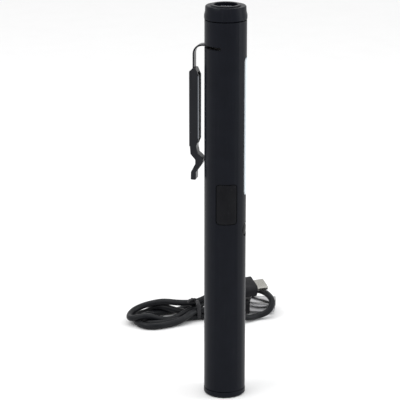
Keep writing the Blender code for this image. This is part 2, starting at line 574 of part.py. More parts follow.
# ---- inside ---------------------------------------------------------------------------------
def make_inside(f):
    sled_outer = PLUG_RADIUS
    sled_inner = sled_outer - SLED_WALL
    reach = 14
    turns = [math.radians(115 + (245 - 115) * i / reach) for i in range(reach + 1)]
    outline = [(sled_outer * math.cos(a), sled_outer * math.sin(a)) for a in turns]
    outline += [(sled_inner * math.cos(a), sled_inner * math.sin(a)) for a in reversed(turns)]
    sled = prism("inner_sled", outline, SLED_BOTTOM, BULKHEAD_BOTTOM + 0.0005, f["moulding"])
    bulkhead = turned("bulkhead", [(0.0022, BULKHEAD_BOTTOM), (PLUG_RADIUS, BULKHEAD_BOTTOM),
                                   (PLUG_RADIUS, BULKHEAD_TOP), (0.0022, BULKHEAD_TOP)], f["moulding"], 40)
    join(sled, bulkhead)
    cut(sled, pin_hole(BULKHEAD_BOTTOM - 0.0001, BULKHEAD_TOP + 0.001, f))

    battery_top = BATTERY_TOP
    cell = turned("battery_cell", [
        (0, BATTERY_BOTTOM), (BATTERY_RADIUS - 0.0003, BATTERY_BOTTOM), (BATTERY_RADIUS, BATTERY_BOTTOM + 0.0003),
        (BATTERY_RADIUS, battery_top - 0.0005), (BATTERY_RADIUS - 0.0005, battery_top), (0.0020, battery_top),
        (0.0020, battery_top + 0.0008), (0, battery_top + 0.0008)], f["cell"], SMALL_ROUND)
    place(cell, Matrix.Translation((-0.0004, 0, 0)))

    board_bottom = battery_top + 0.0040
    board_top = BULKHEAD_BOTTOM - TOUCH_GAP
    half = MAIN_BOARD_THICKNESS / 2
    board = block("main_board", (MAIN_BOARD_X - half, -MAIN_BOARD_WIDTH / 2, board_bottom),
                  (MAIN_BOARD_X + half, MAIN_BOARD_WIDTH / 2, board_top), f["green_board"])
    depth, thickness, width = SOCKET_SIZE
    notch = upright_plate("notch", thickness + 2 * TOUCH_GAP, width + 2 * TOUCH_GAP, 0.0005,
                          SOCKET_FACE - depth - TOUCH_GAP, SOCKET_FACE + TUBE_RADIUS, PORT_BOTTOM + PORT_HEIGHT / 2,
                          f["green_board"], 2)
    cut(board, place(notch, facing(PORT_AZIMUTH)))
    chip = 0.0022
    block("charge_chip", (MAIN_BOARD_X - half - TOUCH_GAP - 0.0010, -chip, board_bottom + 0.030),
          (MAIN_BOARD_X - half - TOUCH_GAP, chip, board_bottom + 0.030 + 2 * chip), f["moulding"])

    wire_x = MAIN_BOARD_X - half - TOUCH_GAP - LEAD_WIRE_RADIUS
    for name, side, finish in (("head_wire_red", 1, f["red"]), ("head_wire_black", -1, f["black"])):
        wire(name, [(wire_x, side * 0.0011, board_top - 0.006), (wire_x - 0.0004, side * 0.0011, board_top - 0.002),
                    (0.0004, side * 0.0010, BULKHEAD_BOTTOM + 0.001), (0.0002, side * 0.0010, CLIP_Z),
                    (0.0002, side * 0.0010, RETAINER_TOP), (0.0004, side * 0.0012, LED_BOARD_BOTTOM - TOUCH_GAP)],
             LEAD_WIRE_RADIUS, finish, resolution=0)
    for name, side, finish in (("cell_wire_red", 1, f["red"]), ("cell_wire_black", -1, f["black"])):
        wire(name, [(-0.0010, side * 0.0009, battery_top + 0.0008 + TOUCH_GAP),
                    (-0.0012, side * 0.0014, battery_top + 0.003),
                    (wire_x - 0.0010, side * 0.0020, board_bottom + 0.001),
                    (wire_x, side * 0.0022, board_bottom + 0.005)], LEAD_WIRE_RADIUS, finish, resolution=0)


# ---- charging lead --------------------------------------------------------------------------
def fold(centre, heading, reach, steps=10):
    """Half a circle about a fold's centre, facing away from the tie, anticlockwise."""
    turns = [heading + math.pi * (i / steps - 0.5) for i in range(steps + 1)]
    return [(centre[0] + reach * math.cos(a), centre[1] + reach * math.sin(a)) for a in turns]


def make_hank(f):
    left, tied, right = Vector(HANK_LEFT), Vector(HANK_TIED), Vector(HANK_RIGHT)
    along = (tied - left).normalized()
    across = Vector((-along.y, along.x))
    heading = math.atan2(along.y, along.x)
    onward = right - tied
    reach = HANK_FOLD_RADIUS + CORD_RADIUS
    half = along * (TIE_WIDTH / 2 + 0.0006)
    side = across * HANK_WAIST
    outline = [*fold(right, math.atan2(onward.y, onward.x), reach), tied + half + side, tied - half + side,
               *fold(left, heading + math.pi, reach), tied - half - side, tied + half - side]
    floor = 0.0001
    hank = prism("cable_hank", outline, floor, HANK_HEIGHT, f["cord"])

    bottom = floor + TIE_THICKNESS
    top = HANK_HEIGHT + TOUCH_GAP
    middle = (bottom + top) / 2
    inner = rounded(2 * (HANK_WAIST + TOUCH_GAP), top - bottom, 0.0006, 2)
    outer = rounded(2 * (HANK_WAIST + TOUCH_GAP + TIE_THICKNESS), top - bottom + 2 * TIE_THICKNESS, 0.0014, 2)
    band = prism("cable_tie", outer, -TIE_WIDTH / 2, TIE_WIDTH / 2, f["cord"])
    cut(band, prism("opening", inner, -TIE_WIDTH, TIE_WIDTH, f["cord"]))
    at_tie = Matrix.Translation((*HANK_TIED, 0)) @ Matrix.Rotation(heading, 4, "Z")
    place(band, at_tie @ Matrix.Translation((0, 0, middle)) @ UPRIGHT)
    notch_half = TIE_WIDTH / 2 + TOUCH_GAP
    notch = block("notch", (-notch_half, -0.01, -0.001), (notch_half, 0.01, bottom + TOUCH_GAP), f["cord"])
    cut(hank, place(notch, at_tie))


def plug_pieces(prefix, tip_frame, shell, grip, f):
    """A grip, its metal shell with an open mouth, a tongue inside and a tapered relief, pointing along +X."""
    length, width, thickness = shell
    grip_length, grip_width, grip_thickness = grip
    lying = Matrix(((0, 0, 1, 0), (1, 0, 0, 0), (0, 1, 0, 0), (0, 0, 0, 1)))
    corner = thickness * 0.16
    case = prism(prefix + "_shell", rounded(width, thickness, corner, 2), -length, 0.0, f["steel"])
    mouth = rounded(width - 2 * PLUG_SHEET, thickness - 2 * PLUG_SHEET, corner / 2, 2)
    cut(case, prism("mouth", mouth, -length + 0.001, 0.001, f["steel"]))
    place(case, tip_frame @ lying)
    clear = 2 * (PLUG_SHEET + TOUCH_GAP)
    tongue_thickness = (thickness - clear) * 0.55
    drop = (thickness - clear - tongue_thickness) / 2
    tongue = prism(prefix + "_tongue", rounded(width - clear, tongue_thickness, tongue_thickness * 0.2, 1),
                   -length + 0.001 + TOUCH_GAP, -0.0006, f["moulding"])
    place(tongue, tip_frame @ Matrix.Translation((0, 0, drop)) @ lying)
    back = -length - TOUCH_GAP
    body = prism(prefix + "_grip", rounded(grip_width, grip_thickness, grip_thickness * 0.3, 4),
                 back - grip_length, back, f["moulding"])
    place(body, tip_frame @ lying)
    relief_front = back - grip_length - TOUCH_GAP
    relief = turned(prefix + "_relief", [(0, -RELIEF_LENGTH), (CORD_RADIUS + 0.0003, -RELIEF_LENGTH),
                                         (CORD_RADIUS + 0.0009, 0), (0, 0)], f["moulding"], 20)
    place(relief, tip_frame @ Matrix.Translation((relief_front, 0, 0)) @ Matrix.Rotation(math.pi / 2, 4, "Y"))
    cord_start = tip_frame @ Vector((relief_front - RELIEF_LENGTH - TOUCH_GAP, 0, 0))
    return cord_start, tip_frame.to_3x3() @ Vector((-1, 0, 0))


def make_lead(f):
    make_hank(f)
    big_frame = (Matrix.Translation((*BIG_PLUG_TIP, BIG_GRIP[2] / 2 + 0.0001))
                 @ Matrix.Rotation(BIG_PLUG_HEADING, 4, "Z"))
    big_exit, big_way = plug_pieces("plug_a", big_frame, BIG_SHELL, BIG_GRIP, f)
    rise = BIG_GRIP[2] + RUN_GAP + SMALL_GRIP[2] / 2 + SMALL_PLUG_LIFT
    small_frame = (Matrix.Translation((*SMALL_PLUG_BASE, rise)) @ Matrix.Rotation(SMALL_PLUG_HEADING, 4, "Z")
                   @ Matrix.Rotation(-SMALL_PLUG_TILT, 4, "Y") @ Matrix.Rotation(SMALL_PLUG_ROLL, 4, "X")
                   @ Matrix.Translation((SMALL_SHELL[0], 0, 0)))
    small_exit, small_way = plug_pieces("plug_b", small_frame, SMALL_SHELL, SMALL_GRIP, f)

    wire("cable_loop", LOOP_ROUTE, CORD_RADIUS, f["cord"], resolution=2, spacing=0.0045)
    wire("cable_to_plug_a", [big_exit, big_exit + big_way * 0.003, *PLUG_A_ROUTE], CORD_RADIUS, f["cord"],
         resolution=2, spacing=0.004)
    wire("cable_to_plug_b", [small_exit, small_exit + small_way * 0.003, *PLUG_B_ROUTE], CORD_RADIUS, f["cord"],
         resolution=2, spacing=0.004)


# Routes of the loose stretches, from the plugs or the hank, as points chosen along each.
LOOP_ROUTE = [
    (-0.0068, 0.0925, 0.0017), (-0.0046, 0.0953, 0.0018), (0.0001, 0.0975, 0.0036), (0.0017, 0.0990, 0.0060),
    (0.0017, 0.1014, 0.0080), (-0.0005, 0.1060, 0.0088), (-0.0036, 0.1102, 0.0090), (-0.0078, 0.1137, 0.0088),
    (-0.0120, 0.1162, 0.0068), (-0.0165, 0.1180, 0.0042), (-0.0214, 0.1185, 0.0040), (-0.0262, 0.1168, 0.0060),
    (-0.0287, 0.1125, 0.0085), (-0.0292, 0.1075, 0.0094), (-0.0290, 0.1020, 0.0094), (-0.0292, 0.0985, 0.0086)]
PLUG_A_ROUTE = [(-0.0384, 0.1029, 0.0022), (-0.0424, 0.0989, 0.0017), (-0.0443, 0.0950, 0.0017),
                (-0.0451, 0.0920, 0.0017)]
PLUG_B_ROUTE = [(-0.0299, 0.0916, 0.0101)]


def main():
    for obj in list(bpy.data.objects):
        bpy.data.objects.remove(obj)
    finishes = make_finishes()
    make_tube(finishes)
    make_tail(finishes)
    make_head(finishes)
    make_clip(finishes)
    make_lamp(finishes)
    make_port(finishes)
    make_button(finishes)
    make_inside(finishes)
    make_lead(finishes)


main()
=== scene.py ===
"""Finish and staging for a standing ultraviolet detector pen with its folded charging lead."""

import math

import bmesh
import bpy
import numpy as np
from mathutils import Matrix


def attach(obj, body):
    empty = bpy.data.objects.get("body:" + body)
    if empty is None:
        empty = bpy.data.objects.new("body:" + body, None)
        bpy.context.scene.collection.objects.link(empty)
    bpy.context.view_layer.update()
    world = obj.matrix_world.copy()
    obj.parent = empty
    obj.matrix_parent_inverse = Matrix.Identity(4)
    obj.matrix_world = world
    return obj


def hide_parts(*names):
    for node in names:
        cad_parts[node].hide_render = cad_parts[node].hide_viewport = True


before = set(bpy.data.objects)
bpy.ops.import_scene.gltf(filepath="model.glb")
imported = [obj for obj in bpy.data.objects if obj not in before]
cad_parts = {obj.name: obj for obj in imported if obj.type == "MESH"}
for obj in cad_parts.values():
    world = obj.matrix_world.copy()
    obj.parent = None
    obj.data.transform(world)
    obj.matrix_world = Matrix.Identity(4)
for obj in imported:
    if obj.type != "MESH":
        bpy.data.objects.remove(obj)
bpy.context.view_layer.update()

bl_info = {
    "name": "Detector Pen Finish",
    "version": (1, 0, 0),
    "blender": (4, 5, 0),
    "location": "View3D > Sidebar > Pen",
    "description": "Surfaces and finishes for a detector pen, its clip, covers and charging lead",
    "category": "Object",
}

MM = 0.001
FULL_TURN = 2 * math.pi
CORD_RADIUS = 1.5 * MM
SAME_POINT = 0.001 * MM         # corners closer than this are one


# ---- surfaces -----------------------------------------------------------------------------
def put_mesh(name, points, faces, uv=None, smooth_angle=35.0):
    """An object at the origin from an (n, 3) array of points and an (m, 4) array of corner indices."""
    mesh = bpy.data.meshes.new(name)
    mesh.from_pydata(points.tolist(), [], faces.tolist())
    if uv is not None:
        layer = mesh.uv_layers.new(name="along")
        corner = np.empty(len(mesh.loops), dtype=np.int32)
        mesh.loops.foreach_get("vertex_index", corner)
        layer.data.foreach_set("uv", uv[corner].astype(np.float32).ravel())
    tidy(mesh)
    mesh.polygons.foreach_set("use_smooth", np.ones(len(mesh.polygons), dtype=bool))
    mesh.set_sharp_from_angle(angle=math.radians(smooth_angle))
    obj = bpy.data.objects.new(name, mesh)
    bpy.context.collection.objects.link(obj)
    return obj


def tidy(mesh):
    """Doubles merged, collapsed faces dropped and normals turned outwards."""
    work = bmesh.new()
    work.from_mesh(mesh)
    bmesh.ops.remove_doubles(work, verts=work.verts, dist=SAME_POINT)
    bmesh.ops.dissolve_degenerate(work, edges=work.edges, dist=SAME_POINT / 10)
    bmesh.ops.recalc_face_normals(work, faces=work.faces)
    work.to_mesh(mesh)
    work.free()


def grid_faces(rows, columns, closed_rows, closed_columns):
    """Corner indices of the quads of a rows by columns grid, which may join up in either direction."""
    r = np.arange(rows if closed_rows else rows - 1)
    c = np.arange(columns if closed_columns else columns - 1)
    r, c = [a.ravel() for a in np.meshgrid(r, c, indexing="ij")]
    here, below, c_next = r * columns, (r + 1) % rows * columns, (c + 1) % columns
    return np.stack([here + c, here + c_next, below + c_next, below + c], 1)


def smooth_path(points, spacing):
    """A curve through the points, read off at an even spacing and eased. Between points b and c, with
    neighbours a and d, it is the cubic that leaves b along c - a and reaches c along d - b. Easing moves each
    station towards the middle of its neighbours."""
    p = np.asarray(points, dtype=float)
    padded = np.vstack([2 * p[0] - p[1], p, 2 * p[-1] - p[-2]])
    t = np.linspace(0, 1, 24, endpoint=False)[None, :, None]
    a, b, c, d = [padded[k:len(padded) - 3 + k][:, None] for k in range(4)]
    rise, bend, twist = c - a, 2 * a - 5 * b + 4 * c - d, 3 * b - a - 3 * c + d
    curve = 0.5 * (2 * b + rise * t + bend * t ** 2 + twist * t ** 3)
    curve = np.vstack([curve.reshape(-1, 3), p[-1]])
    for _ in range(2):
        curve = even(curve, spacing)
        for _ in range(6):
            curve[1:-1] = (curve[:-2] + 2 * curve[1:-1] + curve[2:]) / 4
    return even(curve, spacing)


def even(curve, spacing):
    """The same line with points at equal distances along it."""
    run = np.concatenate([[0], np.cumsum(np.linalg.norm(np.diff(curve, axis=0), axis=1))])
    stations = np.linspace(0, run[-1], max(2, int(round(run[-1] / spacing)) + 1))
    return np.stack([np.interp(stations, run, curve[:, k]) for k in range(3)], 1)


def frames_along(path):
    """Unit vectors forward, sideways and up along a path that is never upright."""
    forward = np.gradient(path, axis=0)
    forward /= np.linalg.norm(forward, axis=1, keepdims=True)
    side = np.cross(np.array([0.0, 0.0, 1.0]), forward)
    side /= np.linalg.norm(side, axis=1, keepdims=True)
    return forward, side, np.cross(forward, side)


def tube_faces(stations, around):
    """The quads of a tube of so many rings, with so many corners round each."""
    return grid_faces(stations, around, False, True)


def sweep(name, path, ring):
    """A ring of (sideways, up) offsets carried along a path, with its ends closed on the path:
    point (s, i) = path_s + ring_i.x side_s + ring_i.y up_s."""
    _, side, up = frames_along(path)
    stations = np.concatenate([[0], np.arange(len(path)), [len(path) - 1]])
    size = np.concatenate([[0.0], np.ones(len(path)), [0.0]])[:, None, None]
    offsets = ring[None, :, :1] * side[stations][:, None] + ring[None, :, 1:] * up[stations][:, None]
    points = path[stations][:, None] + size * offsets
    steps = np.linalg.norm(np.diff(path, axis=0), axis=1)
    run = np.concatenate([[0], np.cumsum(steps)])[stations]
    around = np.linspace(0, 1, len(ring), endpoint=False)
    uv = np.stack(np.broadcast_arrays(run[:, None] * 100, around[None, :]), 2).reshape(-1, 2)
    return put_mesh(name, points.reshape(-1, 3), tube_faces(len(stations), len(ring)), uv, 60.0)


def circle(radius, count):
    """Points round a circle: radius times (cos a, sin a)."""
    angle = np.arange(count) / count * FULL_TURN
    return radius * np.stack([np.cos(angle), np.sin(angle)], 1)


def squared_ring(width, height, count, power):
    """A rounded rectangle: |x / half width| to a power plus |y / half height| to that power is 1."""
    angle = np.arange(count) / count * FULL_TURN
    c, s = np.cos(angle), np.sin(angle)
    r = (np.abs(c) ** power + np.abs(s) ** power) ** (-1 / power)
    return np.stack([width / 2 * r * c, height / 2 * r * s], 1)


def smoothed_copy(node, name, bevel, angle=32.0):
    """A merged copy of a CAD node, smooth except across edges sharper than an angle, which may be eased."""
    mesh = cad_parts[node].data.copy()
    mesh.name = name
    work = bmesh.new()
    work.from_mesh(mesh)
    bmesh.ops.remove_doubles(work, verts=work.verts, dist=SAME_POINT)
    bmesh.ops.dissolve_limit(work, angle_limit=math.radians(1.0), verts=work.verts, edges=work.edges)
    work.to_mesh(mesh)
    work.free()
    mesh.polygons.foreach_set("use_smooth", np.ones(len(mesh.polygons), dtype=bool))
    mesh.set_sharp_from_angle(angle=math.radians(angle))
    obj = bpy.data.objects.new(name, mesh)
    bpy.context.collection.objects.link(obj)
    if bevel:
        ease = obj.modifiers.new("ease", "BEVEL")
        ease.width = bevel
        ease.segments = 3
        ease.limit_method = "ANGLE"
        ease.angle_limit = math.radians(angle)
        ease.harden_normals = True
        ease.use_clamp_overlap = True
    return obj


def show(obj, body, slot, material, *nodes):
    """The piece rides on a body, takes a finish and stands for its CAD nodes."""
    obj.data.materials.clear()
    obj.data.materials.append(material)
    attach(obj, body)
    if nodes:
        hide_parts(*nodes)
    return obj


# ---- shared effects -----------------------------------------------------------------------
DUST = (0.30, 0.30, 0.31)
# Where the clip's rims carry a painted highlight: how far off the pen's axis, and between which heights
HIGHLIGHT_RIM_REACH = 11.4 * MM           # off the pen's axis
HIGHLIGHT_RIM_LOW = 115.0 * MM
HIGHLIGHT_RIM_HIGH = 142.8 * MM


class Nodes:
    """Short calls for adding and joining nodes in one tree."""

    def __init__(self, tree, fresh=True):
        self.tree = tree
        if fresh:
            tree.nodes.clear()

    def add(self, kind, **values):
        node = self.tree.nodes.new(kind)
        for key, value in values.items():
            setattr(node, key, value)
        return node

    def link(self, source, target):
        self.tree.links.new(source, target)

    def math(self, operation, first, second=0.0, clamp=False):
        node = self.add("ShaderNodeMath", operation=operation, use_clamp=clamp)
        for socket, value in zip(node.inputs, (first, second)):
            self.feed(socket, value)
        return node.outputs[0]

    def feed(self, socket, value):
        if isinstance(value, bpy.types.NodeSocket):
            self.link(value, socket)
        else:
            socket.default_value = value

    def noise(self, vector, scale, detail=3.0, roughness=0.55):
        node = self.add("ShaderNodeTexNoise")
        self.feed(node.inputs["Vector"], vector)
        self.feed(node.inputs["Scale"], scale)
        self.feed(node.inputs["Detail"], detail)
        self.feed(node.inputs["Roughness"], roughness)
        return node.outputs[0]

    def span(self, value, low, high, to_low=0.0, to_high=1.0):
        node = self.add("ShaderNodeMapRange", clamp=True)
        ends = {"From Min": low, "From Max": high, "To Min": to_low, "To Max": to_high}
        for key, item in {"Value": value, **ends}.items():
            self.feed(node.inputs[key], item)
        return node.outputs[0]

    def mix(self, amount, first, second):
        """A blend of two colours, whose sockets stand 6th and 7th, and its result 2nd."""
        node = self.add("ShaderNodeMix", data_type="RGBA")
        for index, item in ((0, amount), (6, first), (7, second)):
            self.feed(node.inputs[index], item)
        return node.outputs[2]


def new_group(name, inputs, outputs):
    """A shader node group with named sockets; inputs are (name, kind, default)."""
    tree = bpy.data.node_groups.new(name, "ShaderNodeTree")
    for label, kind, default in inputs:
        socket = tree.interface.new_socket(name=label, in_out="INPUT", socket_type=kind)
        socket.default_value = default
    for label, kind in outputs:
        tree.interface.new_socket(name=label, in_out="OUTPUT", socket_type=kind)
    n = Nodes(tree)
    return n, n.add("NodeGroupInput").outputs, n.add("NodeGroupOutput").inputs


def make_grain():
    """Fine even grain: a height, a roughness shift and a shade that varies slowly over the surface."""
    n, given, out = new_group(
        "fine grain", [("Scale", "NodeSocketFloat", 6000.0), ("Blotch Scale", "NodeSocketFloat", 120.0)],
        [("Height", "NodeSocketFloat"), ("Fine", "NodeSocketFloat"), ("Blotch", "NodeSocketFloat")])
    where = n.add("ShaderNodeTexCoord").outputs["Object"]
    fine = n.noise(where, given["Scale"], 2.0, 0.6)
    blotch = n.noise(where, given["Blotch Scale"], 4.0, 0.6)
    n.link(fine, out["Height"])
    n.link(n.span(fine, 0.3, 0.7), out["Fine"])
    n.link(n.span(blotch, 0.3, 0.7), out["Blotch"])


def make_dust():
    """Lint and dust that settle on faces looking up: a mask of sparse specks and a thin even film."""
    n, given, out = new_group(
        "dust", [("Amount", "NodeSocketFloat", 0.3), ("Scale", "NodeSocketFloat", 900.0)],
        [("Mask", "NodeSocketFloat")])
    where = n.add("ShaderNodeTexCoord").outputs["Object"]
    up = n.add("ShaderNodeSeparateXYZ")
    n.link(n.add("ShaderNodeNewGeometry").outputs["Normal"], up.inputs[0])
    facing = n.span(up.outputs[2], 0.2, 1.0, 0.15, 1.0)
    specks = n.span(n.noise(where, given["Scale"], 2.0, 0.5), 0.66, 0.78)
    film = n.span(n.noise(where, 180.0, 4.0, 0.6), 0.35, 0.85, 0.0, 0.5)
    settled = n.math("MULTIPLY", n.math("MAXIMUM", specks, film), facing)
    n.link(n.math("MULTIPLY", settled, given["Amount"], True), out["Mask"])


def make_rub():
    """Hairline rubbing: short streaks stretched along one axis, as a mask."""
    n, given, out = new_group(
        "rub marks",
        [("Stretch", "NodeSocketVector", (900.0, 900.0, 60.0)), ("Amount", "NodeSocketFloat", 0.4)],
        [("Mask", "NodeSocketFloat"), ("Height", "NodeSocketFloat")])
    where = n.add("ShaderNodeTexCoord").outputs["Object"]
    stretched = n.add("ShaderNodeVectorMath", operation="MULTIPLY")
    n.link(where, stretched.inputs[0])
    n.link(given["Stretch"], stretched.inputs[1])
    lines = n.noise(stretched.outputs[0], 1.0, 2.0, 0.5)
    patches = n.span(n.noise(where, 90.0, 3.0, 0.6), 0.4, 0.75)
    worn = n.math("MULTIPLY", n.span(lines, 0.55, 0.8), patches)
    n.link(n.math("MULTIPLY", worn, given["Amount"], True), out["Mask"])
    n.link(lines, out["Height"])


def finish(name, colour, rough=0.4, metal=0.0, specular=0.5, grain=6000.0, grain_depth=0.02, blotch=0.1,
           dust=0.15, rub=0.0, rub_colour=(0.12, 0.12, 0.13), stretch=(900.0, 900.0, 60.0), lines=0.0,
           coat=0.0, transmission=0.0, ior=1.5):
    """One piece's material: its colour and roughness broken up by grain, rubbing and dust. The grain and the
    rubbed lines raise it by their depths, and the blotches lighten its colour."""
    material = bpy.data.materials.new(name)
    material.use_nodes = True
    n = Nodes(material.node_tree)
    shader = n.add("ShaderNodeBsdfPrincipled")
    n.link(shader.outputs[0], n.add("ShaderNodeOutputMaterial").inputs["Surface"])
    constants = {"Metallic": metal, "Specular IOR Level": specular, "IOR": ior, "Coat Weight": coat,
                 "Coat Roughness": 0.1, "Transmission Weight": transmission}
    for socket, value in constants.items():
        shader.inputs[socket].default_value = value

    texture = n.add("ShaderNodeGroup", node_tree=bpy.data.node_groups["fine grain"])
    texture.inputs["Scale"].default_value = grain
    lighter = tuple(min(1.0, c * (1 + 2.5 * blotch) + 0.004 * blotch) for c in colour)
    shade = n.mix(texture.outputs["Blotch"], (*colour, 1.0), (*lighter, 1.0))
    roughness = n.span(texture.outputs["Fine"], 0.0, 1.0, rough * 0.88, min(1.0, rough * 1.12))
    height = n.math("MULTIPLY", texture.outputs["Height"], grain_depth)
    if rub:
        worn = n.add("ShaderNodeGroup", node_tree=bpy.data.node_groups["rub marks"])
        worn.inputs["Stretch"].default_value = stretch
        worn.inputs["Amount"].default_value = rub
        shade = n.mix(worn.outputs["Mask"], shade, (*rub_colour, 1.0))
        if lines:
            height = n.math("ADD", height, n.math("MULTIPLY", worn.outputs["Height"], lines))
    if dust:
        settled = n.add("ShaderNodeGroup", node_tree=bpy.data.node_groups["dust"])
        settled.inputs["Amount"].default_value = dust
        shade = n.mix(settled.outputs["Mask"], shade, (*DUST, 1.0))
        roughness = n.math("ADD", roughness, n.math("MULTIPLY", settled.outputs["Mask"], 0.4), True)

    n.link(shade, shader.inputs["Base Color"])
    n.link(roughness, shader.inputs["Roughness"])
    bump = n.add("ShaderNodeBump")
    bump.inputs["Strength"].default_value = 0.6
    bump.inputs["Distance"].default_value = 0.1 * MM
    n.link(height, bump.inputs["Height"])
    n.link(bump.outputs[0], shader.inputs["Normal"])
    return material


def highlight_painted_rim(material, colour, metal, reach, low, high):
    """Paint a highlight on the clip's rims, a lighter and less metallic colour: nearer the pen's axis than a
    reach, and between two heights.
    """
    n = Nodes(material.node_tree, fresh=False)
    shader = next(node for node in material.node_tree.nodes if node.type == "BSDF_PRINCIPLED")
    place = n.add("ShaderNodeSeparateXYZ")
    n.link(n.add("ShaderNodeTexCoord").outputs["Object"], place.inputs[0])
    near = n.span(place.outputs[0], -reach - 0.2 * MM, -reach)
    above = n.span(place.outputs[2], low, low + 0.5 * MM)
    below = n.span(place.outputs[2], high, high - 0.5 * MM)
    mask = n.math("MULTIPLY", near, n.math("MULTIPLY", above, below))
    tint, metallic = shader.inputs["Base Color"], shader.inputs["Metallic"]
    n.link(n.mix(mask, tint.links[0].from_socket, (*colour, 1.0)), tint)
    n.link(n.span(mask, 0.0, 1.0, metallic.default_value, metal), metallic)
    return material


def make_blacks(colours):
    """The tube's anodising, the clip's steel with a painted highlight on its rims, and the rubbers and
    mouldings.
    """
    clip = finish("dark spring steel", tuple(colours.clip), rough=0.30, metal=0.55, specular=0.2,
                  grain=4000.0, rub=0.15, rub_colour=(0.10, 0.10, 0.11), lines=0.03, dust=0.04)
    return {
        "anodised": finish("black anodised aluminium", tuple(colours.body), rough=0.36, specular=0.09,
                           grain=5200.0, grain_depth=0.05, rub=0.04, dust=0.03),
        # The clip's steel, with a painted highlight on the rims nearest the pen
        "steel_dark": highlight_painted_rim(clip, (0.17, 0.18, 0.20), 0.3, HIGHLIGHT_RIM_REACH, HIGHLIGHT_RIM_LOW, HIGHLIGHT_RIM_HIGH),
        "rubber": finish("moulded rubber", (0.0035, 0.0037, 0.0050), rough=0.5, specular=0.09, grain=3600.0,
                         grain_depth=0.06, dust=0.2),
        # Partly the mouldings' own black, partly painted shade: darkened further, with little specular, so
        # the slot and the tube's inside read unlit
        "moulding": finish("black moulding with painted shade", (0.0015, 0.0015, 0.0018), rough=0.6, specular=0.03,
                           grain=3000.0, grain_depth=0.05, dust=0.0),
        "jacket": finish("cord jacket", (0.0042, 0.0048, 0.0062), rough=0.36, specular=0.16, grain=2600.0,
                         grain_depth=0.06, dust=0.12, stretch=(300.0, 300.0, 300.0), rub=0.1),
        "grip": finish("plug overmoulding", (0.0075, 0.0075, 0.009), rough=0.45, specular=0.16,
                       grain=2800.0, grain_depth=0.08, dust=0.15),
        "tie": finish("tie strip", (0.006, 0.006, 0.008), rough=0.28, specular=0.35, grain=2200.0,
                      grain_depth=0.03, dust=0.05),
    }


def make_metals():
    """The plug shells, the springs and pins, the magnet and the reflector."""
    return {
        "steel": finish("bright plated steel", (0.42, 0.42, 0.43), rough=0.24, metal=1.0, grain=1800.0,
                        rub=0.5, rub_colour=(0.40, 0.40, 0.41), dust=0.0, stretch=(1200.0, 1200.0, 90.0)),
        "warm_steel": finish("nickel plated shell", (0.36, 0.355, 0.33), rough=0.27, metal=1.0, grain=1800.0,
                             rub=0.4, rub_colour=(0.36, 0.35, 0.33), dust=0.0),
        "nickel": finish("nickel plate", (0.66, 0.64, 0.60), rough=0.18, metal=1.0, rub=0.3, dust=0.0),
        # The reflector's colour is darkened far below bright metal: painted shade for the head's hole, in
        # place of its glints
        "cup": finish("reflector darkened as painted shade", (0.20, 0.20, 0.22), rough=0.30, metal=1.0, grain_depth=0.03,
                      dust=0.0),
    }


def make_lamp_finishes(colours):
    """The lens and the side lamp's cover, the emitters, the boards, the cell and its wires."""
    return {
        "lens": finish("clear lens", (0.90, 0.93, 0.96), rough=0.03, transmission=1.0, ior=1.46,
                       grain_depth=0.0, blotch=0.02, dust=0.0),
        "cover": finish("milky lamp cover", tuple(colours.lamp), rough=0.22, specular=0.5, grain=1500.0,
                        grain_depth=0.01, blotch=0.01, dust=0.03, coat=0.5),
        "phosphor": finish("emitter", (0.70, 0.58, 0.14), rough=0.40, grain=2400.0, grain_depth=0.06,
                           dust=0.0),
        "white": finish("white board", (0.62, 0.64, 0.62), rough=0.45, grain_depth=0.03, dust=0.05),
        "green": finish("green board", (0.015, 0.11, 0.045), rough=0.35, grain_depth=0.04, dust=0.05),
        "ivory": finish("white insulator", (0.74, 0.74, 0.71), rough=0.40, grain_depth=0.03, dust=0.05),
        "sleeve": finish("cell sleeve", (0.04, 0.13, 0.28), rough=0.30, grain_depth=0.02, rub=0.2),
        "red": finish("red insulation", (0.40, 0.015, 0.015), rough=0.35, grain_depth=0.02),
    }


def make_finishes():
    """The shared effects, then every finish by its short name."""
    make_grain()
    make_dust()
    make_rub()
    colours = bpy.context.scene.pen_finish
    return {**make_blacks(colours), **make_metals(), **make_lamp_finishes(colours)}


FINISH = {}


# ---- sizes --------------------------------------------------------------------------------
class PenFinish(bpy.types.PropertyGroup):
    body: bpy.props.FloatVectorProperty(
        name="Body", description="Colour of the anodised body", subtype="COLOR", size=3, min=0, max=1,
        default=(0.0036, 0.0044, 0.0074))
    clip: bpy.props.FloatVectorProperty(
        name="Clip", description="Colour of the spring clip", subtype="COLOR", size=3, min=0, max=1,
        default=(0.013, 0.0135, 0.016))
    lamp: bpy.props.FloatVectorProperty(
        name="Lamp", description="Colour of the side lamp's cover", subtype="COLOR", size=3, min=0, max=1,
        default=(0.70, 0.76, 0.80))


class LeadLayout(bpy.types.PropertyGroup):
    left: bpy.props.FloatVectorProperty(
        name="Left fold", description="Centre of the folds beside the pen", subtype="TRANSLATION",
        unit="LENGTH", size=2, default=(-0.0554, 0.0767))
    tied: bpy.props.FloatVectorProperty(
        name="Tie", description="Where the lead is tied", subtype="TRANSLATION", unit="LENGTH", size=2,
        default=(-0.0328, 0.0899))
    right: bpy.props.FloatVectorProperty(
        name="Right fold", description="Centre of the fold behind the pen", subtype="TRANSLATION",
        unit="LENGTH", size=2, default=(-0.02303, 0.09391))
    fold: bpy.props.FloatProperty(
        name="Fold radius", description="Radius of a fold at the middle of the cord", unit="LENGTH",
        default=0.0090)


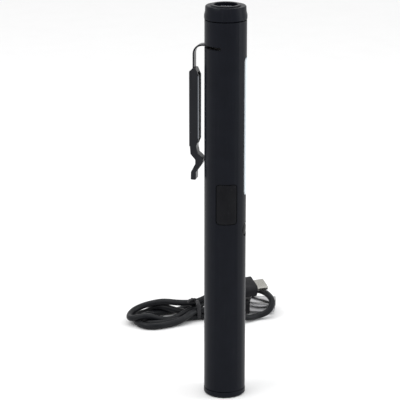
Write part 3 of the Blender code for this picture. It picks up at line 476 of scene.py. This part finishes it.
# ---- charging lead ------------------------------------------------------------------------
STATION = 0.8 * MM              # between the cord's rings
ON_FLOOR = 1.7 * MM             # height of a cord that lies on the floor
PLUG_A_EXIT = (-0.0338, 0.1042, 0.00385)
PLUG_A_ROUTE = [
    (-0.0368, 0.10385, 0.0034), (-0.0384, 0.1029, 0.0022), (-0.0424, 0.0989, 0.0017),
    (-0.0443, 0.0950, 0.0017)]
LOOP_ROUTE = [
    (-0.0087, 0.0895, 0.0024), (-0.0046, 0.0951, 0.0018), (-0.0001, 0.0972, 0.0030),
    (0.0018, 0.0990, 0.0052), (0.0020, 0.1018, 0.0075), (-0.0005, 0.1060, 0.0088),
    (-0.0036, 0.1102, 0.0090), (-0.0078, 0.1137, 0.0088), (-0.0120, 0.1162, 0.0068),
    (-0.0165, 0.1180, 0.0042), (-0.0214, 0.1185, 0.0040), (-0.0262, 0.1168, 0.0060),
    (-0.0287, 0.1125, 0.0085), (-0.0292, 0.1075, 0.0094), (-0.0290, 0.1020, 0.0094),
    (-0.0292, 0.0985, 0.0086)]
PLUG_B_EXIT = (-0.0261, 0.0940, 0.0125)

TIE_WIDTH = 2.1 * MM            # of the strip that is wound round the lead
TIE_THICKNESS = 0.56 * MM
TIE_OFFSET = 1.0 * MM           # from the folds' crossing towards the left fold
TIE_HEIGHT = 4.85 * MM          # of the winding's middle
TIE_HALF_ACROSS = 4.1 * MM
TIE_HALF_UP = 4.54 * MM
TIE_ROUNDNESS = 2.6
TIE_PITCH = 0.25 * MM           # along the lead, for each radian of the winding
TWIST_HEIGHT = 9.7 * MM
TWIST_LENGTH = 4.6 * MM
TWIST_RADIUS = 0.5 * MM


def hank_frame():
    """The tie's place, the hank's directions along and across it from above, and the left fold's distance."""
    layout = bpy.context.scene.lead_layout
    tied, left = np.array(layout.tied), np.array(layout.left)
    reach = np.linalg.norm(tied - left)
    along = (tied - left) / reach
    return tied, along, np.array([-along[1], along[0]]), reach


def in_hank(stations):
    """(along, across, height) from the tie, turned into the pen's own directions."""
    tied, along, across, _ = hank_frame()
    s = np.asarray(stations, dtype=float)
    return np.column_stack([tied + s[:, :1] * along + s[:, 1:2] * across, s[:, 2]])


def hank_run(stations):
    """A run of points given in millimetres along and across the hank and up from the floor."""
    return in_hank(np.asarray(stations, dtype=float) * MM)


def left_fold(shift, far, near):
    """Half a squarish oval turn on the floor round the left fold, from its far side to its near side: (along,
    across) = (c |c|^(1/square - 1), s |s|^(1/square - 1)) times its half sizes, where c and s are the turn's
    cosine and sine."""
    _, _, _, reach = hank_frame()
    square = 1.3
    turn = np.linspace(math.pi / 2, 3 * math.pi / 2, 13)
    c, s = [np.sign(v) * np.abs(v) ** (1 / square) for v in (np.cos(turn), np.sin(turn))]
    along = -reach + shift + bpy.context.scene.lead_layout.fold * c
    across = (far + near) / 2 + (far - near) / 2 * s
    return in_hank(np.column_stack([along, across, np.full(len(turn), ON_FLOOR)]))


def right_fold(start, end):
    """Part of a round turn on the floor behind the pen, between two directions in degrees."""
    layout = bpy.context.scene.lead_layout
    turn = np.radians(np.linspace(start, end, 7))
    x, y = [centre + layout.fold * v for centre, v in zip(layout.right, (np.cos(turn), np.sin(turn)))]
    return np.column_stack([x, y, np.full(len(turn), ON_FLOOR)])


def lead_route():
    """The whole lead from plug A to plug B: a fold on the left, one on the right, a second on the left, the
    wide loop, a third on the left that climbs over the other two, then plug B."""
    parts = [
        [PLUG_A_EXIT], PLUG_A_ROUTE,
        left_fold(7.2 * MM, 9.0 * MM, -5.3 * MM),
        hank_run([(-13, -4.4, 1.8), (-5.5, -2.3, 1.9), (0, -1.7, 1.9), (3.4, -2.7, 1.8), (6.2, -5.4, 1.7),
                  (9.2, -8.4, 1.7)]),
        right_fold(-36, 88),
        hank_run([(11.0, 6.9, 1.7), (5.6, 4.4, 1.8), (0, 1.6, 1.9), (-5.5, 2.9, 2.8), (-11, 5.6, 4.0),
                  (-15, 8.6, 4.9), (-19, 11.5, 4.0)]),
        left_fold(3.9 * MM, 12.1 * MM, -9.1 * MM),
        hank_run([(-17.5, -8.2, 1.8), (-13, -7.3, 1.9), (-9, -6.1, 3.1), (-5.0, -4.0, 4.4), (0, -1.7, 4.95),
                  (4.5, -3.3, 4.95), (8.5, -6.6, 4.9), (12, -9.4, 4.8), (15.5, -11.4, 4.2)]),
        LOOP_ROUTE,
        hank_run([(0, 1.6, 4.95), (-3, 0.8, 5.0), (-6.5, 0.0, 3.9), (-11, -1.0, 2.1), (-16, -2.1, 1.8),
                  (-20.5, -2.4, 2.7), (-25, -2.6, 4.7), (-28, -2.6, 5.0), (-31.2, -2.2, 4.7),
                  (-33.8, -0.4, 3.7), (-34.4, 2.7, 3.2), (-32.8, 6.0, 4.0), (-29.8, 8.8, 4.8),
                  (-25, 10.4, 5.8), (-20, 10.0, 6.8), (-15, 8.0, 7.8), (-10.5, 5.5, 7.6), (-5.5, 2.9, 7.7),
                  (-1.0, 0.9, 8.3), (3.6, 0.15, 10.1)]),
        [PLUG_B_EXIT],
    ]
    return smooth_path(np.vstack([np.asarray(part, dtype=float) for part in parts]), STATION)


def ribbon(name, path, wide, ring):
    """A flat strip along a path: its ring of (wide, thick) offsets lies across one fixed direction and the
    path's own normal."""
    forward = np.gradient(path, axis=0)
    forward /= np.linalg.norm(forward, axis=1, keepdims=True)
    normal = np.cross(forward, wide)
    normal /= np.linalg.norm(normal, axis=1, keepdims=True)
    stations = np.concatenate([[0], np.arange(len(path)), [len(path) - 1]])
    size = np.concatenate([[0.0], np.ones(len(path)), [0.0]])[:, None, None]
    offsets = ring[None, :, :1] * wide + ring[None, :, 1:] * normal[stations][:, None]
    points = path[stations][:, None] + size * offsets
    return put_mesh(name, points.reshape(-1, 3), tube_faces(len(stations), len(ring)), None, 50.0)


def tie_band(tied, along, across):
    """A flat coated strip wound once round the bundle, as a squarish oval about the hank's line:
    (across, height) = (w r cos a, middle + h r sin a), with r from the oval's roundness."""
    turn = np.linspace(-0.45 * math.pi, 1.62 * math.pi, 90)
    c, s = np.cos(turn), np.sin(turn)
    r = (np.abs(c) ** TIE_ROUNDNESS + np.abs(s) ** TIE_ROUNDNESS) ** (-1 / TIE_ROUNDNESS)
    proud = np.where(s < 0, 1.0, 1.04)
    flat = tied + np.outer(TIE_HALF_ACROSS * r * c, across) + np.outer((turn - 1.8) * TIE_PITCH, along)
    centre = np.column_stack([flat, TIE_HEIGHT + TIE_HALF_UP * proud * r * s])
    ring = squared_ring(TIE_WIDTH, TIE_THICKNESS, 20, 4.0)
    return ribbon("twist_tie_band", centre, np.append(along, 0.0), ring)


def tie_end(name, phase, tied, along, across):
    """One end of the strip: a helix, half a turn behind the other, that runs back over the bundle and droops:
    (across, height) = the run's place + wind (cos spin, sin spin)."""
    t = np.linspace(0, 1, 60)
    spin = phase + t * 3.2 * math.pi
    wind = TWIST_RADIUS * (1 - 0.3 * t)
    aside = 0.4 * MM - 1.2 * MM * t + wind * np.cos(spin)
    flat = tied + np.outer(aside, across) - np.outer(TWIST_LENGTH * t, along)
    up = TWIST_HEIGHT + 1.3 * MM * np.sin(t * math.pi * 0.8) - 1.2 * MM * t + wind * np.sin(spin)
    return sweep(name, np.column_stack([flat, up]), squared_ring(1.0 * MM, 0.5 * MM, 14, 3.0))


def twist_tie():
    """The tie's strip, wound once round the bundle, and its two ends twisted together."""
    tied, along, across, _ = hank_frame()
    tied = tied - TIE_OFFSET * along
    return [tie_band(tied, along, across),
            tie_end("twist_tie_end_a", 0.0, tied, along, across),
            tie_end("twist_tie_end_b", math.pi, tied, along, across)]


class PEN_OT_lead(bpy.types.Operator):
    """Lay the charging lead: one cord in three folds and a loop between its two plugs, with its tie."""
    bl_idname = "pen.lead"
    bl_label = "Charging Lead"

    def execute(self, context):
        path = lead_route()
        cord = sweep("charging_cord", path, circle(CORD_RADIUS, 20))
        show(cord, "root", "cord", FINISH["jacket"],
             "cable_hank", "cable_loop", "cable_to_plug_a", "cable_to_plug_b")
        tie = twist_tie()
        show(tie[0], "root", "cable_tie", FINISH["tie"], "cable_tie")
        for end in tie[1:]:
            show(end, "root", "cable_tie", FINISH["tie"])
        return {"FINISHED"}


# ---- the pen's own structure -----------------------------------------------------------------------
# piece: (CAD node, body, slot, finish, width of its eased edges)
EASED = {
    "clip_spring": ("pocket_clip", "clip", "spring_steel", "steel_dark", 0.25 * MM),
    "body_shell": ("body_tube", "root", "anodised", "anodised", 0.12 * MM),
    "tail_end": ("tail_cap", "root", "anodised", "anodised", 0.0),
    "head_ring": ("head_bezel", "root", "anodised", "anodised", 0.0),
    "port_flap_rubber": ("port_cover", "port_flap", "rubber", "rubber", 0.25 * MM),
    "button_pad": ("power_button", "button", "rubber", "rubber", 0.12 * MM),
    "lamp_window": ("lamp_cover", "root", "lamp_cover", "cover", 0.15 * MM),
    "plug_a_body": ("plug_a_grip", "root", "cable_moulding", "grip", 0.3 * MM),
    "plug_b_body": ("plug_b_grip", "root", "cable_moulding", "grip", 0.3 * MM),
    "plug_a_case": ("plug_a_shell", "root", "plated_steel", "steel", 0.08 * MM),
    "plug_b_case": ("plug_b_shell", "root", "plated_steel", "warm_steel", 0.06 * MM),
}
# finish: the CAD nodes that wear it as they are
CARRIED_OVER = {
    "rubber": ("tail_seal", "lens_seal"),
    "moulding": ("clip_retainer", "inner_sled", "socket_tongue", "switch_plunger", "charge_chip",
                 "plug_b_tongue", "head_wire_black", "cell_wire_black"),
    "grip": ("plug_a_relief", "plug_b_relief"),
    "steel": ("battery_spring", "clip_anchor_pin", "charge_socket", "switch_body"),
    "nickel": ("tail_magnet",),
    "lens": ("head_lens",),
    "cup": ("led_reflector",),
    "white": ("led_board", "lamp_board"),
    "phosphor": ("uv_emitter", "lamp_emitter"),
    "green": ("main_board",),
    "sleeve": ("battery_cell",),
    "red": ("head_wire_red", "cell_wire_red"),
    "ivory": ("plug_a_tongue",),
}


class PEN_OT_finishes(bpy.types.Operator):
    """Make the finishes and give one to each piece of the pen's own structure."""
    bl_idname = "pen.finishes"
    bl_label = "Finishes"

    def execute(self, context):
        FINISH.update(make_finishes())
        for key, nodes in CARRIED_OVER.items():
            for node in nodes:
                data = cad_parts[node].data
                data.materials.clear()
                data.materials.append(FINISH[key])
        return {"FINISHED"}


class PEN_OT_structure(bpy.types.Operator):
    """Ease the edges of the pen's seen parts: body, ends, clip, covers and plugs."""
    bl_idname = "pen.structure"
    bl_label = "Pen Structure"

    def execute(self, context):
        for name, (node, body, slot, key, ease) in EASED.items():
            show(smoothed_copy(node, name, ease), body, slot, FINISH[key], node)
        return {"FINISHED"}


# ---- stage --------------------------------------------------------------------------------
FLOOR_HALF = 3.0
LIGHT_TARGET = 0.08             # height on the pen's axis that the lights face
CAMERA_PLACE = (0.172523, -0.795334, 0.32534)
CAMERA_TURN = (73.7467, 0.0, 13.0)
CAMERA_LENS = 177.18


def area_light(name, place, target, size, power, colour=(1.0, 1.0, 1.0)):
    """A soft rectangular light that faces a height on the pen's axis."""
    light = bpy.data.lights.new(name, "AREA")
    light.shape = "RECTANGLE"
    light.size, light.size_y = size
    light.energy = power
    light.color = colour
    obj = bpy.data.objects.new(name, light)
    obj.location = place
    x, y, drop = -place[0], -place[1], place[2] - target
    obj.rotation_euler = (math.atan2(math.hypot(x, y), drop), 0, math.atan2(y, x) - math.pi / 2)
    bpy.context.collection.objects.link(obj)


def make_floor():
    """A flat sheet of white paper under the pen: point (i, j) = (x_i, y_j, 0)."""
    steps = np.linspace(-FLOOR_HALF, FLOOR_HALF, 41)
    x, y = np.meshgrid(steps, steps, indexing="ij")
    points = np.stack([x, y, np.zeros_like(x)], 2).reshape(-1, 3)
    floor = put_mesh("studio_floor", points, grid_faces(len(steps), len(steps), False, False))
    paper = bpy.data.materials.new("white paper")
    paper.use_nodes = True
    n = Nodes(paper.node_tree)
    shader = n.add("ShaderNodeBsdfPrincipled")
    n.link(shader.outputs[0], n.add("ShaderNodeOutputMaterial").inputs["Surface"])
    where = n.add("ShaderNodeTexCoord").outputs["Object"]
    shade = n.mix(n.noise(where, 40.0), (0.86, 0.86, 0.86, 1), (0.89, 0.89, 0.89, 1))
    n.link(shade, shader.inputs["Base Color"])
    shader.inputs["Roughness"].default_value = 0.9
    shader.inputs["Specular IOR Level"].default_value = 0.1
    floor.data.materials.append(paper)
    return floor


def make_camera():
    camera = bpy.data.cameras.new("camera")
    camera.lens = CAMERA_LENS
    camera.sensor_width = 36.0
    camera.clip_start = 0.05
    holder = bpy.data.objects.new("camera", camera)
    holder.location = CAMERA_PLACE
    holder.rotation_euler = [math.radians(turn) for turn in CAMERA_TURN]
    bpy.context.collection.objects.link(holder)
    return holder


class PEN_OT_stage(bpy.types.Operator):
    """Set a pale floor, soft studio light and the camera."""
    bl_idname = "pen.stage"
    bl_label = "Stage"

    def execute(self, context):
        make_floor()
        world = bpy.data.worlds.new("studio")
        world.use_nodes = True
        sky = world.node_tree.nodes["Background"]
        sky.inputs["Color"].default_value = (1.0, 1.0, 1.0, 1.0)
        sky.inputs["Strength"].default_value = 1.0
        context.scene.world = world
        area_light("key", (-0.45, -0.35, 0.75), LIGHT_TARGET, (0.5, 0.5), 2.2)
        area_light("right_strip", (0.55, 0.10, 0.30), LIGHT_TARGET, (0.16, 0.7), 1.2, (0.95, 0.98, 1.0))
        area_light("top", (0.05, 0.05, 0.95), 0.1, (0.6, 0.6), 1.2)
        context.scene.camera = make_camera()
        context.scene.view_settings.view_transform = "Standard"
        return {"FINISHED"}


# ---- panel and registration ---------------------------------------------------------------
STEPS = (PEN_OT_finishes, PEN_OT_structure, PEN_OT_lead, PEN_OT_stage)


class PEN_PT_pieces(bpy.types.Panel):
    """The finish and the lead's layout, and a button for each step."""
    bl_idname = "PEN_PT_pieces"
    bl_label = "Detector Pen"
    bl_space_type = "VIEW_3D"
    bl_region_type = "UI"
    bl_category = "Pen"

    def draw(self, context):
        for group in (context.scene.pen_finish, context.scene.lead_layout):
            for name in type(group).__annotations__:
                self.layout.prop(group, name)
        for step in STEPS:
            self.layout.operator(step.bl_idname)


CLASSES = (PenFinish, LeadLayout, *STEPS, PEN_PT_pieces)


def register():
    for item in CLASSES:
        bpy.utils.register_class(item)
    bpy.types.Scene.pen_finish = bpy.props.PointerProperty(type=PenFinish)
    bpy.types.Scene.lead_layout = bpy.props.PointerProperty(type=LeadLayout)


def unregister():
    del bpy.types.Scene.lead_layout
    del bpy.types.Scene.pen_finish
    for item in reversed(CLASSES):
        bpy.utils.unregister_class(item)


def main():
    register()
    for step in STEPS:
        group, call = step.bl_idname.split(".")
        getattr(getattr(bpy.ops, group), call)()


if __name__ == "__main__":
    main()
